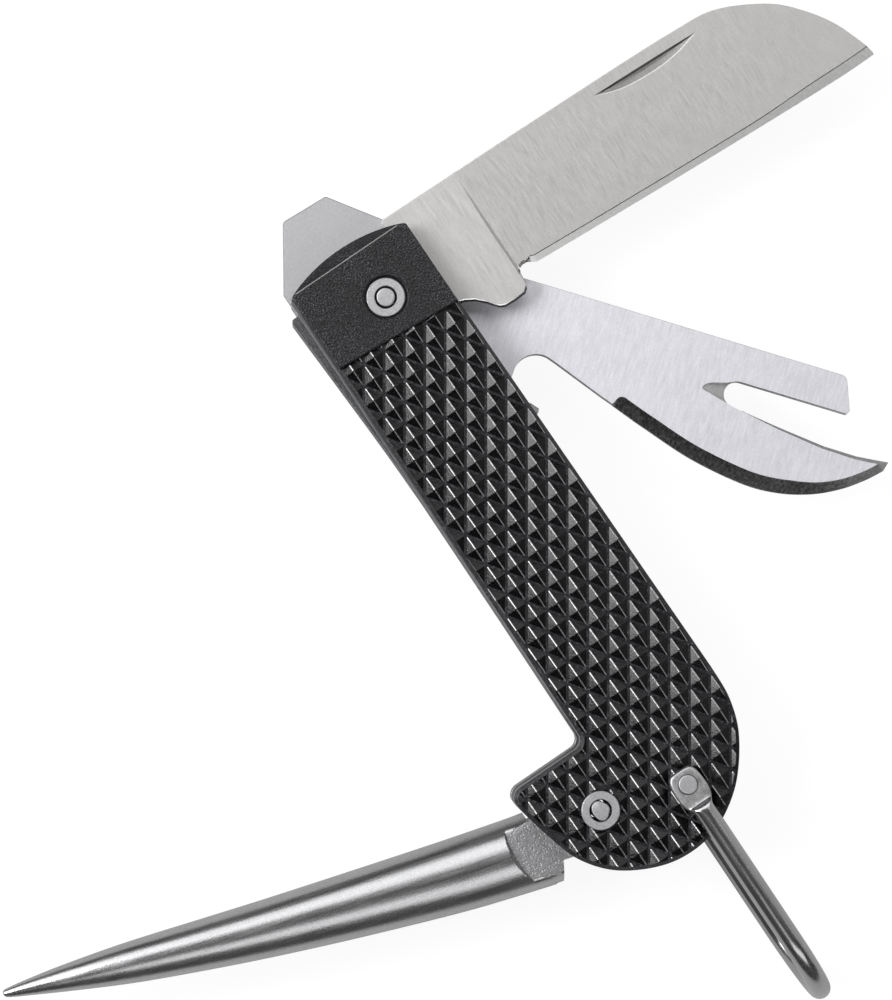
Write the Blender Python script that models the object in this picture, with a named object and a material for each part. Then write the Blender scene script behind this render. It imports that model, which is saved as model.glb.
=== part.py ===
"""Rigging knife: two grip scales over steel liners, a sheepsfoot blade, a can opener,
a screwdriver on the centre plate, a marlin spike and a wire shackle.

The knife lies flat.  In the drawing frame (millimetres) the blade pivot is at 0, 0, the
handle runs along +X towards the shackle, the blade and the can opener fold out towards +Y,
and z is 0 in the middle of the thickness.  The root empty then moves the whole knife so
that the origin is at the middle of its base.
"""
import math

import bmesh
import bpy
from mathutils import Vector

MM = 0.001

# Thickness, measured from the middle of the knife
PLATE_HALF = 0.75
LAYER_IN = 0.85
LAYER_OUT = 3.35
LINER_IN = 3.45
LINER_OUT = 4.35
SCALE_IN = 4.45
RIM_Z = 6.9
FIELD_Z = 7.6
BOLSTER_Z = 7.9
RIM_BEVEL = 0.6
LINER_PROUD = 0.35
TIP_HALF = 0.35

# Places of the pins
PIVOT = (0.0, 0.0)
SPIKE_PIVOT = (80.2, -16.6)
SHACKLE_PIVOT = (84.1, -4.0)
SPRING_PIN = (38.0, -10.6)

# Pins, washers and holes
PIN_R = 1.5
SPRING_PIN_R = 1.0
SHACKLE_PIN_R = 1.45
HOLE_PLAY = 0.06
WASHER_R = 2.95
WASHER_LOW = 7.15
WASHER_HIGH = 7.75
RECESS_R = 3.15
RECESS_Z = 7.05
PIN_Z = 7.95
SHACKLE_PIN_Z = 10.6

# How far each tool stands open, as the angle of its own long edge
BLADE_OPEN = 88.7
OPENER_OPEN = 39.1
SPIKE_OPEN = -106.1

# Tool tangs
CAM_R = 9.0
TANG_FLAT = 7.5
TANG_HEEL = 7.2
SHOULDER_X = 5.77

# Marlin spike
SPIKE_TANG_HALF = 3.25
SPIKE_CAM_R = 7.7
SPIKE_FLAT_R = 14.2
SPIKE_HALF_DEPTH = 4.55
SPIKE_LEAN = 0.25

# Shackle
WIRE_R = 1.6
LEG_Z = 9.75
SHACKLE_LENGTH = 38.4
SHACKLE_TURN = -0.7
EYE_LOW = 8.3
EYE_HIGH = 10.35

ROUND_STEPS = 32

# Cutters reach this far past what they cut, along the handle's width and its thickness
REACH_ACROSS = 20.0
REACH_DEEP = 12.0


def clear_scene():
    for obj in list(bpy.data.objects):
        bpy.data.objects.remove(obj, do_unlink=True)


def make_material(name, colour, roughness, metallic):
    mat = bpy.data.materials.new(name)
    mat.use_nodes = True
    shader = mat.node_tree.nodes["Principled BSDF"]
    shader.inputs["Base Color"].default_value = (*colour, 1.0)
    shader.inputs["Roughness"].default_value = roughness
    shader.inputs["Metallic"].default_value = metallic
    return mat


# ---------------------------------------------------------------- outlines

def arc(centre, radius, start, end, steps=8):
    """Points on an arc, from one angle to another in degrees."""
    points = []
    for i in range(steps + 1):
        angle = math.radians(start + (end - start) * i / steps)
        points.append((centre[0] + radius * math.cos(angle), centre[1] + radius * math.sin(angle)))
    return points


def arc_through(a, b, c, steps=12):
    """Points on the circle through a, b and c, from a to c."""
    ax, ay, bx, by, cx, cy = *a, *b, *c
    d = 2 * (ax * (by - cy) + bx * (cy - ay) + cx * (ay - by))
    ux = ((ax**2 + ay**2) * (by - cy) + (bx**2 + by**2) * (cy - ay) + (cx**2 + cy**2) * (ay - by)) / d
    uy = ((ax**2 + ay**2) * (cx - bx) + (bx**2 + by**2) * (ax - cx) + (cx**2 + cy**2) * (bx - ax)) / d
    start = math.atan2(ay - uy, ax - ux)
    middle = math.atan2(by - uy, bx - ux)
    end = math.atan2(cy - uy, cx - ux)
    turn = 2 * math.pi
    if (middle - start) % turn <= (end - start) % turn:
        sweep = (end - start) % turn
    else:
        sweep = -((start - end) % turn)
    return arc((ux, uy), math.hypot(ax - ux, ay - uy), math.degrees(start),
               math.degrees(start + sweep), steps)


def smooth(points, steps=4):
    """A Catmull-Rom curve through the points, ends included."""
    padded = [points[0]] + list(points) + [points[-1]]
    curve = []
    for p0, p1, p2, p3 in zip(padded, padded[1:], padded[2:], padded[3:]):
        for i in range(steps):
            t = i / steps
            curve.append(tuple(
                0.5 * (2 * p1[k] + (p2[k] - p0[k]) * t
                       + (2 * p0[k] - 5 * p1[k] + 4 * p2[k] - p3[k]) * t * t
                       + (3 * p1[k] - p0[k] - 3 * p2[k] + p3[k]) * t ** 3)
                for k in range(2)))
    return curve + [points[-1]]


def circle(centre, radius, steps=ROUND_STEPS):
    return arc(centre, radius, 0, 360, steps)[:-1]


def inset(outline, distance):
    """The outline moved inwards; its points run anticlockwise."""
    moved = []
    count = len(outline)
    for i, point in enumerate(outline):
        before = Vector(outline[i - 1])
        here = Vector(point)
        after = Vector(outline[(i + 1) % count])
        into = (here - before).normalized()
        out = (after - here).normalized()
        normal = Vector((-into.y - out.y, into.x + out.x)).normalized()
        share = max(0.5, normal.dot(Vector((-into.y, into.x))))
        moved.append(tuple(here + normal * distance / share))
    return moved


def handle_outline(proud=0.0):
    """Side view of the handle; proud lowers the blade end of the back edge."""
    back = [(-7.4, -11.65 - proud), (69.0, -12.9)]
    crook = arc((69.1, -14.6), 1.7, 84, 0, 5)
    heel = arc((72.6, -24.5), 1.85, 180, 255, 5)
    nose = smooth([(73.4, -26.25), (78.6, -25.15), (84.5, -23.2), (89.3, -19.0), (92.5, -12.1),
                   (92.4, -5.0), (88.9, 1.5), (83.0, 6.4), (77.5, 8.5), (72.0, 8.9)])
    blade_end = arc_through((-7.6, 8.35), (-9.8, -1.4), (-7.8, -11.3 - proud), 12)
    return back + crook + heel + nose + [(-7.3, 8.65)] + blade_end


def tang_outline():
    """The hidden round end of a folding tool, from its shoulder round to its heel."""
    top_angle = 180 - math.degrees(math.asin(TANG_FLAT / CAM_R))
    heel_angle = 180 + math.degrees(math.asin(TANG_HEEL / CAM_R))
    cam = arc((0, 0), CAM_R, top_angle, heel_angle, 12)
    return [(SHOULDER_X, TANG_FLAT)] + cam + [(5.2, -TANG_HEEL), (6.8, -6.3)]


# ---------------------------------------------------------------- solids

def add_loop(bm, outline, z):
    return [bm.verts.new((x * MM, y * MM, z * MM)) for x, y in outline]


def bridge(bm, lower, upper):
    for i in range(len(lower)):
        j = (i + 1) % len(lower)
        bm.faces.new((lower[i], lower[j], upper[j], upper[i]))


def finish_mesh(bm, name, mat, sharp=30):
    bmesh.ops.recalc_face_normals(bm, faces=bm.faces)
    mesh = bpy.data.meshes.new(name)
    bm.to_mesh(mesh)
    bm.free()
    mesh.shade_smooth()
    mesh.set_sharp_from_angle(angle=math.radians(sharp))
    if mat:
        mesh.materials.append(mat)
    obj = bpy.data.objects.new(name, mesh)
    bpy.context.scene.collection.objects.link(obj)
    return obj


def stacked(name, levels, holes=(), mat=None):
    """A closed solid through outlines at rising heights, with round holes (centre, radius)."""
    bm = bmesh.new()
    loops = [add_loop(bm, outline, z) for z, outline in levels]
    for lower, upper in zip(loops, loops[1:]):
        bridge(bm, lower, upper)
    low_z = levels[0][0]
    high_z = levels[-1][0]
    low_rings = [add_loop(bm, circle(centre, radius), low_z) for centre, radius in holes]
    high_rings = [add_loop(bm, circle(centre, radius), high_z) for centre, radius in holes]
    for lower, upper in zip(low_rings, high_rings):
        bridge(bm, lower, upper)
    for rim in ([loops[0]] + low_rings, [loops[-1]] + high_rings):
        edges = []
        for loop in rim:
            for a, b in zip(loop, loop[1:] + loop[:1]):
                edges.append(bm.edges.get((a, b)) or bm.edges.new((a, b)))
        bmesh.ops.triangle_fill(bm, edges=edges, use_beauty=True, use_dissolve=False)
    return finish_mesh(bm, name, mat)


def mirrored(levels):
    return [(-z, outline) for z, outline in reversed(levels)]


def rings_solid(name, rings, mat):
    """A closed solid through rings of points, capped at its ends."""
    bm = bmesh.new()
    loops = [[bm.verts.new(Vector(p) * MM) for p in ring] for ring in rings]
    for lower, upper in zip(loops, loops[1:]):
        bridge(bm, lower, upper)
    bm.faces.new(loops[0])
    bm.faces.new(loops[-1])
    return finish_mesh(bm, name, mat, sharp=40)


def as_cutter(obj):
    obj.hide_render = True
    obj.display_type = "WIRE"
    return obj


def combine(obj, cutter, operation):
    """Cut obj with a guide solid, or join the guide solid to it."""
    modifier = obj.modifiers.new(cutter.name, "BOOLEAN")
    modifier.operation = operation
    modifier.solver = "EXACT"
    modifier.object = as_cutter(cutter)


def prism(name, outline, low, high, mat=None):
    return stacked(name, [(low, outline), (high, outline)], (), mat)


def place(obj, parent, pivot=(0.0, 0.0), turn=0.0):
    """Put a tool drawn about its own pivot where it stands open."""
    obj.parent = parent
    obj.location = (pivot[0] * MM, pivot[1] * MM, 0.0)
    obj.rotation_euler = (0.0, 0.0, math.radians(turn))


# ---------------------------------------------------------------- handle

def make_scale(name, side, mat):
    outline = handle_outline()
    levels = [(SCALE_IN, outline), (RIM_Z, outline), (FIELD_Z, inset(outline, RIM_BEVEL))]
    holes = [(PIVOT, PIN_R + HOLE_PLAY), (SPIKE_PIVOT, PIN_R + HOLE_PLAY),
             (SHACKLE_PIVOT, SHACKLE_PIN_R + HOLE_PLAY)]
    if side < 0:
        levels = mirrored(levels)
    scale = stacked(name, levels, holes, mat)

    bolster_face = arc_through((-7.2, 8.0), (-9.35, -1.4), (-7.3, -11.1), 12)
    bolster = bolster_face + [(4.9, -11.3), (6.2, 8.1)]
    sunk = 1.0
    low, high = sorted((side * (SCALE_IN + sunk), side * BOLSTER_Z))
    block = stacked(name + "_bolster", [(low, bolster), (high, bolster)],
                    [(PIVOT, PIN_R + HOLE_PLAY)])
    combine(scale, block, "UNION")

    slope_top = -7.9
    run = 4.0
    slope = [(slope_top, side * BOLSTER_Z), (slope_top - run, side * (BOLSTER_Z - run)),
             (slope_top - run, side * (BOLSTER_Z + run))]
    rings = [[(x, y, z) for x, z in slope] for y in (-REACH_ACROSS, REACH_ACROSS)]
    combine(scale, rings_solid(name + "_end_slope", rings, None), "DIFFERENCE")

    for label, centre in (("pivot", PIVOT), ("spike", SPIKE_PIVOT)):
        low, high = sorted((side * RECESS_Z, side * REACH_DEEP))
        recess = prism(f"{name}_{label}_recess", circle(centre, RECESS_R), low, high)
        combine(scale, recess, "DIFFERENCE")
    return scale


def make_liner(name, side, mat):
    outline = handle_outline(proud=LINER_PROUD)
    low, high = sorted((side * LINER_IN, side * LINER_OUT))
    holes = [(PIVOT, PIN_R + HOLE_PLAY), (SPIKE_PIVOT, PIN_R + HOLE_PLAY),
             (SHACKLE_PIVOT, SHACKLE_PIN_R + HOLE_PLAY), (SPRING_PIN, SPRING_PIN_R + HOLE_PLAY)]
    return stacked(name, [(low, outline), (high, outline)], holes, mat)


def make_driver_plate(mat):
    """Centre plate; its blade end is the flat screwdriver, ground thin at the tip."""
    back = [(-9.3, -12.0), (65.0, -12.7), (69.5, -11.2), (73.0, -9.2), (77.0, -7.7)]
    bow = smooth([(91.7, -4.2), (88.6, 1.3), (82.9, 6.2), (77.4, 8.3), (72.0, 8.7)])
    nose = [(91.9, -7.4), (92.0, -5.0)] + bow
    tab = [(26.6, 8.6), (26.5, 9.6), (24.7, 9.0), (24.2, 8.6)]
    driver = [(-7.3, 8.5), (-10.6, 6.5), (-17.3, 2.0)] + arc((-17.5, 1.2), 0.8, 75, 175, 4)
    driver += arc((-17.6, -5.5), 0.8, 185, 240, 4)
    outline = back + nose + tab + driver
    tip_start = -16.6
    tip_end = -18.4
    kept = 0.3
    ground = [(max(x, tip_start + kept * (x - tip_end)), y) for x, y in outline]
    levels = [(-PLATE_HALF, ground), (-TIP_HALF, outline), (TIP_HALF, outline), (PLATE_HALF, ground)]
    holes = [(PIVOT, PIN_R + HOLE_PLAY), (SHACKLE_PIVOT, SHACKLE_PIN_R + HOLE_PLAY),
             (SPRING_PIN, SPRING_PIN_R + HOLE_PLAY)]
    return stacked("driver_plate", levels, holes, mat)


def make_spring(name, side, mat):
    """Back spring, bowed outwards at its blade end as it is with the tools half open."""
    back = smooth([(-4.9, -13.4), (10.0, -12.85), (20.0, -12.55), (30.0, -12.45)], 3) + [(66.5, -12.75)]
    rear = smooth([(70.2, -11.5), (73.5, -9.75), (76.5, -8.75), (80.5, -8.5)], 3)
    inner = smooth([(80.5, -5.6), (76.5, -5.8), (72.0, -6.9), (68.0, -8.5), (62.0, -9.3)], 3)
    waist = [(48.0, -9.2), (44.0, -8.7), (32.0, -8.7), (26.0, -9.3), (21.5, -10.05), (12.0, -10.0),
             (8.5, -9.3), (-4.9, -9.25), (-5.3, -9.6), (-5.3, -13.1)]
    low, high = sorted((side * LAYER_IN, side * LAYER_OUT))
    outline = back + rear + inner + waist
    return stacked(name, [(low, outline), (high, outline)], [(SPRING_PIN, SPRING_PIN_R + HOLE_PLAY)], mat)


def make_pin(name, centre, radius, half_length, mat):
    """Rivet with a slightly domed head on each end."""
    dome = 0.15
    top = circle(centre, radius - 0.35)
    shank = circle(centre, radius)
    levels = [(-half_length, top), (-half_length + dome, shank), (half_length - dome, shank), (half_length, top)]
    return stacked(name, levels, (), mat)


def make_washer(name, centre, side, mat):
    edge = 0.15
    levels = [(WASHER_LOW, circle(centre, WASHER_R)), (WASHER_HIGH - edge, circle(centre, WASHER_R)),
              (WASHER_HIGH, circle(centre, WASHER_R - edge))]
    if side < 0:
        levels = mirrored(levels)
    return stacked(name, levels, [(centre, PIN_R + HOLE_PLAY)], mat)


# ---------------------------------------------------------------- tools
# Each tool is drawn about its own pivot, lying along +X with its back towards +Y.

def make_blade(mat):
    kick = [(8.6, -6.3), (9.9, -6.7), (11.3, -7.5), (12.5, -8.7), (13.3, -9.7), (13.9, -10.3),
            (14.6, -10.6), (16.3, -10.65), (18.1, -10.5), (18.7, -10.0), (19.05, -9.2), (19.1, -7.4),
            (19.5, -6.75), (20.5, -6.6)]
    edge = smooth([(22.2, -7.4), (31.0, -7.75), (47.0, -8.3), (62.0, -8.7), (75.0, -8.95), (81.6, -8.8)], 2)
    point = smooth([(81.7, -8.2), (81.2, -6.5), (79.3, -1.9), (76.4, 2.3), (72.3, 6.2), (65.0, 9.75),
                    (58.0, 10.4), (48.0, 10.55)], 3)
    spine = [(30.0, 10.5), (18.8, 10.4), (6.3, 10.25), (SHOULDER_X, 9.8)]
    grind = 1.05
    ground_tip = 81.1
    ground_edge = [(min(x, ground_tip), y + grind) for x, y in edge]
    rest = point + spine + tang_outline()
    middle = (LAYER_IN + LAYER_OUT) / 2
    flat = kick + ground_edge + rest
    levels = [(LAYER_IN, flat), (middle, kick + edge + rest), (LAYER_OUT, flat)]
    return stacked("main_blade", levels, [((0, 0), PIN_R + HOLE_PLAY)], mat)


def make_opener(mat):
    kick = [(9.5, -6.4), (11.5, -7.8), (13.5, -9.6), (14.6, -10.3), (18.6, -10.2), (20.2, -9.3), (21.2, -7.4)]
    neck = arc_through((21.4, -4.6), (22.3, -2.0), (25.6, -0.85), 6) + [(27.0, -1.3), (35.0, -4.2)]
    cutting = smooth([(38.0, -5.2), (43.0, -6.95), (50.7, -9.3), (59.0, -10.65), (64.5, -10.5), (69.5, -9.25),
                      (73.6, -7.25), (76.8, -4.9), (79.0, -2.8)], 2)
    hook = [(79.4, -1.3), (74.5, -1.8), (69.4, -1.75)]
    slot = arc((54.5, 1.95), 1.85, 262, 90, 10)
    prong = [(70.3, 3.75), (71.2, 3.75), (71.5, 4.3)] + arc((68.9, 8.2), 1.05, 30, 85, 4)
    top = [(6.3, 9.55), (SHOULDER_X, 9.2)]
    bevel_width = 2.0
    tip_draw = 1.2
    ground = [cutting[0]]
    for x, y in cutting[1:]:
        tip = max(0.0, (x - 68.0) / 11.0)
        ground.append((x - tip_draw * tip, y + bevel_width - tip_draw * tip))
    rest = hook + slot + prong + top + tang_outline()
    outline = kick + neck + cutting + rest
    low = -LAYER_OUT + 0.05
    bevel_foot = -LAYER_OUT + 0.6
    levels = [(low, outline), (bevel_foot, outline), (-LAYER_IN, kick + neck + ground + rest)]
    return stacked("can_opener", levels, [((0, 0), PIN_R + HOLE_PLAY)], mat)


def spike_section(x):
    """Middle and half width of the spike at a distance x from its pivot."""
    knots = [(8.0, 2.75, 5.85), (13.5, 2.95, 5.8), (22.0, 2.83, 5.58), (30.0, 2.55, 5.3), (41.0, 2.05, 4.85),
             (52.0, 1.43, 4.33), (62.0, 0.7, 3.8), (73.0, -0.22, 3.08), (82.4, -1.05, 2.05),
             (88.3, -1.52, 1.22), (91.4, -1.72, 0.7), (92.2, -1.82, 0.35)]
    for (x0, m0, w0), (x1, m1, w1) in zip(knots, knots[1:]):
        if x <= x1:
            t = (x - x0) / (x1 - x0)
            return m0 + (m1 - m0) * t, w0 + (w1 - w0) * t
    return knots[-1][1:]


def spike_ring(x, sides=24):
    """One oval section; it grows rounder towards the point, and leans near the shoulder."""
    middle, half = spike_section(x)
    oval = 0.78
    roundness = oval + (1 - oval) * min(1.0, max(0.0, (x - 20.0) / 60.0))
    depth = min(SPIKE_HALF_DEPTH, half * roundness)
    lean = SPIKE_LEAN * max(0.0, 1.0 - (x - 9.0) / 16.0)
    ring = []
    for i in range(sides):
        angle = 2 * math.pi * i / sides
        across = half * math.cos(angle)
        ring.append((x + 0.4 * (lean > 0) - lean * across, middle + across, depth * math.sin(angle)))
    return ring


def make_spike(mat):
    """Oval forged body; inside the handle it is milled flat down to its tang."""
    places = [9.0, 11.0, 14.0, 18.0, 22.0, 30.0, 38.0, 46.0, 54.0, 62.0, 68.0, 73.0, 78.0, 82.4, 86.0,
              88.8, 90.4, 91.4, 92.2]
    spike = rings_solid("marlin_spike", [spike_ring(x) for x in places], mat)

    for label, side in (("front", 1), ("back", -1)):
        low, high = sorted((side * SPIKE_TANG_HALF, side * REACH_DEEP))
        flat = prism(f"spike_{label}_flat", circle((0, 0), SPIKE_FLAT_R), low, high)
        flat.parent = spike
        combine(spike, flat, "DIFFERENCE")

    tang_half = SPIKE_TANG_HALF - 0.02
    shoulder = [(8.0, -2.2), (13.0, -1.2), (13.0, 6.2), (8.3, 7.4), (7.0, 5.9), (7.15, 5.0), (6.9, 4.1)]
    core = prism("spike_tang", arc((0, 0), SPIKE_CAM_R, 45, 300, 22) + shoulder, -tang_half, tang_half)
    core.parent = spike
    combine(spike, core, "UNION")

    bore = prism("spike_bore", circle((0, 0), PIN_R + HOLE_PLAY), -REACH_DEEP, REACH_DEEP)
    bore.parent = spike
    combine(spike, bore, "DIFFERENCE")
    return spike


def make_shackle(mat):
    """Wire bent into a U across the thickness, with a flattened eye on each end."""
    leg_start = 4.2
    bend_x = SHACKLE_LENGTH - WIRE_R - LEG_Z
    path = [((x, LEG_Z), 0.0) for x in (leg_start, 12.0, 20.0)]
    for i in range(13):
        angle = math.pi * i / 12
        path.append(((bend_x + LEG_Z * math.sin(angle), LEG_Z * math.cos(angle)), angle))
    path += [((x, -LEG_Z), math.pi) for x in (20.0, 12.0, leg_start)]
    rings = []
    for (x, z), angle in path:
        ring = []
        for i in range(16):
            around = 2 * math.pi * i / 16
            across = WIRE_R * math.cos(around)
            ring.append((x + across * math.sin(angle), WIRE_R * math.sin(around), z + across * math.cos(angle)))
        rings.append(ring)
    shackle = rings_solid("shackle", rings, mat)

    eye = [(-2.3, -1.7), (-1.7, -2.2)] + arc_through((-0.4, -2.45), (1.2, -2.5), (2.6, -2.3), 4)
    eye += [(3.6, -1.6), (5.4, -1.25), (5.4, 1.25), (3.6, 1.6)]
    eye += arc_through((2.6, 2.3), (1.2, 2.5), (-0.4, 2.45), 4) + [(-1.7, 2.2), (-2.3, 1.7)]
    for label, side in (("front", 1), ("back", -1)):
        low, high = sorted((side * EYE_LOW, side * EYE_HIGH))
        flattened = prism(f"shackle_{label}_eye", eye, low, high)
        flattened.parent = shackle
        combine(shackle, flattened, "UNION")
    bore = prism("shackle_bore", circle((0, 0), SHACKLE_PIN_R + HOLE_PLAY), -REACH_DEEP, REACH_DEEP)
    bore.parent = shackle
    combine(shackle, bore, "DIFFERENCE")
    return shackle


# ---------------------------------------------------------------- assembly

def set_on_base(root):
    """Move the root so that the origin is at the middle of the knife's base."""
    bpy.context.view_layer.update()
    low = Vector((1.0, 1.0, 1.0))
    high = -low
    for obj in bpy.context.scene.objects:
        if obj.type != "MESH" or obj.hide_render:
            continue
        for vertex in obj.data.vertices:
            point = obj.matrix_world @ vertex.co
            low = Vector(map(min, low, point))
            high = Vector(map(max, high, point))
    root.location = (-(low.x + high.x) / 2, -(low.y + high.y) / 2, -low.z)


def main():
    clear_scene()
    root = bpy.data.objects.new("knife_root", None)
    bpy.context.scene.collection.objects.link(root)

    plastic = make_material("black_plastic", (0.02, 0.02, 0.022), 0.45, 0.0)
    blade_steel = make_material("blade_steel", (0.62, 0.61, 0.58), 0.35, 1.0)
    opener_steel = make_material("opener_steel", (0.72, 0.72, 0.75), 0.35, 1.0)
    plate_steel = make_material("plate_steel", (0.66, 0.67, 0.68), 0.45, 1.0)
    spike_steel = make_material("spike_steel", (0.6, 0.6, 0.62), 0.3, 1.0)
    wire_steel = make_material("wire_steel", (0.65, 0.65, 0.66), 0.25, 1.0)
    rivet_steel = make_material("rivet_steel", (0.7, 0.7, 0.7), 0.4, 1.0)

    fixed = [
        make_scale("front_scale", 1, plastic),
        make_scale("back_scale", -1, plastic),
        make_liner("front_liner", 1, plate_steel),
        make_liner("back_liner", -1, plate_steel),
        make_driver_plate(plate_steel),
        make_spring("blade_spring", 1, plate_steel),
        make_spring("opener_spring", -1, plate_steel),
        make_pin("pivot_pin", PIVOT, PIN_R, PIN_Z, rivet_steel),
        make_pin("spike_pin", SPIKE_PIVOT, PIN_R, PIN_Z, rivet_steel),
        make_pin("shackle_pin", SHACKLE_PIVOT, SHACKLE_PIN_R, SHACKLE_PIN_Z, rivet_steel),
        make_pin("spring_pin", SPRING_PIN, SPRING_PIN_R, LINER_OUT - 0.05, rivet_steel),
        make_washer("pivot_washer_front", PIVOT, 1, rivet_steel),
        make_washer("pivot_washer_back", PIVOT, -1, rivet_steel),
        make_washer("spike_washer_front", SPIKE_PIVOT, 1, rivet_steel),
        make_washer("spike_washer_back", SPIKE_PIVOT, -1, rivet_steel),
    ]
    for obj in fixed:
        obj.parent = root
        for modifier in obj.modifiers:
            modifier.object.parent = root

    place(make_blade(blade_steel), root, PIVOT, BLADE_OPEN)
    place(make_opener(opener_steel), root, PIVOT, OPENER_OPEN)
    place(make_spike(spike_steel), root, SPIKE_PIVOT, SPIKE_OPEN)
    place(make_shackle(wire_steel), root, SHACKLE_PIVOT, SHACKLE_TURN)
    set_on_base(root)


main()
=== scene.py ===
"""Looks of the rigging knife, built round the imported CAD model.

Shapes are drawn in millimetres in the knife's own drawing frame: the blade pivot is at 0, 0,
the handle runs along +X, the tools fold out towards +Y and z is 0 in the middle of the
thickness.  Each tool is drawn about its own pivot, lying along +X, and then turned open.
"""
import math
import random

import bmesh
import bpy
from mathutils import Matrix, Vector


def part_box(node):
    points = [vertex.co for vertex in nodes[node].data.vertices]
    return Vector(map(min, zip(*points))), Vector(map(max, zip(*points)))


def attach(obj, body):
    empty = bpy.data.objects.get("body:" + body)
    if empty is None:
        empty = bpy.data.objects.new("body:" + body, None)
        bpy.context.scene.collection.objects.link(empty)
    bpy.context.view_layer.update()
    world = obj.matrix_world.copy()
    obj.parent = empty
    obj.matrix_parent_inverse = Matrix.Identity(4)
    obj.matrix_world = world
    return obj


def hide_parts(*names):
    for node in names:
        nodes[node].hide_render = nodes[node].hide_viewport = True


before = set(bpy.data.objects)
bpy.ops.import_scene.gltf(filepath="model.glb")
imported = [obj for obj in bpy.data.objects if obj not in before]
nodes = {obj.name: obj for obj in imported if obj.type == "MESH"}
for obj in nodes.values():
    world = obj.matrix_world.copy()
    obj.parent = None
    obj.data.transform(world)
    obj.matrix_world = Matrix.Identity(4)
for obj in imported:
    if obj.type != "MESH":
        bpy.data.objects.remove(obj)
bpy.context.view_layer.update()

MM = 0.001
PER_METRE = 1000.0
CIRCLE_SIDES = 64
SLAB_ROUND = 0.1
WELD = 0.002
FINE_WELD = 0.0005
PIN_BORE = 1.56
SHACKLE_BORE = 1.51
SPRING_BORE = 1.06


def centre_of(node):
    low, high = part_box(node)
    return (low + high) / 2


ORIGIN = centre_of("pivot_pin")
PIVOT_AT = (0.0, 0.0)
SPIKE_AT = (centre_of("spike_pin") - ORIGIN) / MM
SHACKLE_AT = (centre_of("shackle_pin") - ORIGIN) / MM
SPRING_PIN_AT = (centre_of("spring_pin") - ORIGIN) / MM

BLADE_OPEN = 88.7
OPENER_OPEN = 39.1
SPIKE_OPEN = -106.1
SHACKLE_OPEN = -0.7

# ---------------------------------------------------------------- outlines

def arc(centre, radius, start, end, steps):
    """Points on an arc, from one angle to another in degrees."""
    points = []
    for i in range(steps + 1):
        angle = math.radians(start + (end - start) * i / steps)
        points.append((centre[0] + radius * math.cos(angle), centre[1] + radius * math.sin(angle)))
    return points


def arc_through(a, b, c, steps):
    """Points on the circle through a, b and c, from a to c."""
    ax, ay, bx, by, cx, cy = *a, *b, *c
    d = 2 * (ax * (by - cy) + bx * (cy - ay) + cx * (ay - by))
    ux = ((ax**2 + ay**2) * (by - cy) + (bx**2 + by**2) * (cy - ay) + (cx**2 + cy**2) * (ay - by)) / d
    uy = ((ax**2 + ay**2) * (cx - bx) + (bx**2 + by**2) * (ax - cx) + (cx**2 + cy**2) * (bx - ax)) / d
    start = math.atan2(ay - uy, ax - ux)
    middle = math.atan2(by - uy, bx - ux)
    end = math.atan2(cy - uy, cx - ux)
    turn = 2 * math.pi
    if (middle - start) % turn <= (end - start) % turn:
        sweep = (end - start) % turn
    else:
        sweep = -((start - end) % turn)
    return arc((ux, uy), math.hypot(ax - ux, ay - uy), math.degrees(start),
               math.degrees(start + sweep), steps)


def smooth(points, steps=8):
    """A Catmull-Rom curve through the points, ends included."""
    padded = [points[0]] + list(points) + [points[-1]]
    curve = []
    for p0, p1, p2, p3 in zip(padded, padded[1:], padded[2:], padded[3:]):
        for i in range(steps):
            t = i / steps
            curve.append(tuple(
                0.5 * (2 * p1[k] + (p2[k] - p0[k]) * t
                       + (2 * p0[k] - 5 * p1[k] + 4 * p2[k] - p3[k]) * t * t
                       + (3 * p1[k] - p0[k] - 3 * p2[k] + p3[k]) * t ** 3)
                for k in range(len(p1))))
    return curve + [points[-1]]


def circle(centre, radius):
    return arc(centre, radius, 0, 360, CIRCLE_SIDES)[:-1]


def inset(outline, distance):
    """The outline moved inwards; its points run anticlockwise."""
    moved = []
    count = len(outline)
    for i, point in enumerate(outline):
        before = Vector(outline[i - 1])
        here = Vector(point)
        after = Vector(outline[(i + 1) % count])
        into = (here - before).normalized()
        out = (after - here).normalized()
        normal = Vector((-into.y - out.y, into.x + out.x)).normalized()
        share = max(0.5, normal.dot(Vector((-into.y, into.x))))
        moved.append(tuple(here + normal * distance / share))
    return moved


def handle_outline():
    """The grip seen from its face, anticlockwise from the back corner at the blade's end."""
    back = [(-7.4, -11.65), (69.0, -12.9)]
    crook = arc((69.1, -14.6), 1.7, 84, 0, 10)
    heel = arc((72.6, -24.5), 1.85, 180, 255, 10)
    nose = smooth([(73.4, -26.25), (78.6, -25.15), (84.5, -23.2), (89.3, -19.0), (92.5, -12.1),
                   (92.4, -5.0), (88.9, 1.5), (83.0, 6.4), (77.5, 8.5), (72.0, 8.9)], 10)
    blade_end = arc_through((-7.6, 8.35), (-9.8, -1.4), (-7.8, -11.3), 40)
    return back + crook + heel + nose + [(-7.3, 8.65)] + blade_end

# ---------------------------------------------------------------- solids

def add_loop(bm, outline, z):
    return [bm.verts.new((x, y, z)) for x, y in outline]


def bridge(bm, lower, upper):
    for i in range(len(lower)):
        j = (i + 1) % len(lower)
        bm.faces.new((lower[i], lower[j], upper[j], upper[i]))


def link(mesh, name):
    obj = bpy.data.objects.new(name, mesh)
    bpy.context.scene.collection.objects.link(obj)
    return obj


def from_bmesh(bm, name):
    bmesh.ops.recalc_face_normals(bm, faces=bm.faces)
    mesh = bpy.data.meshes.new(name)
    bm.to_mesh(mesh)
    bm.free()
    return link(mesh, name)


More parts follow.
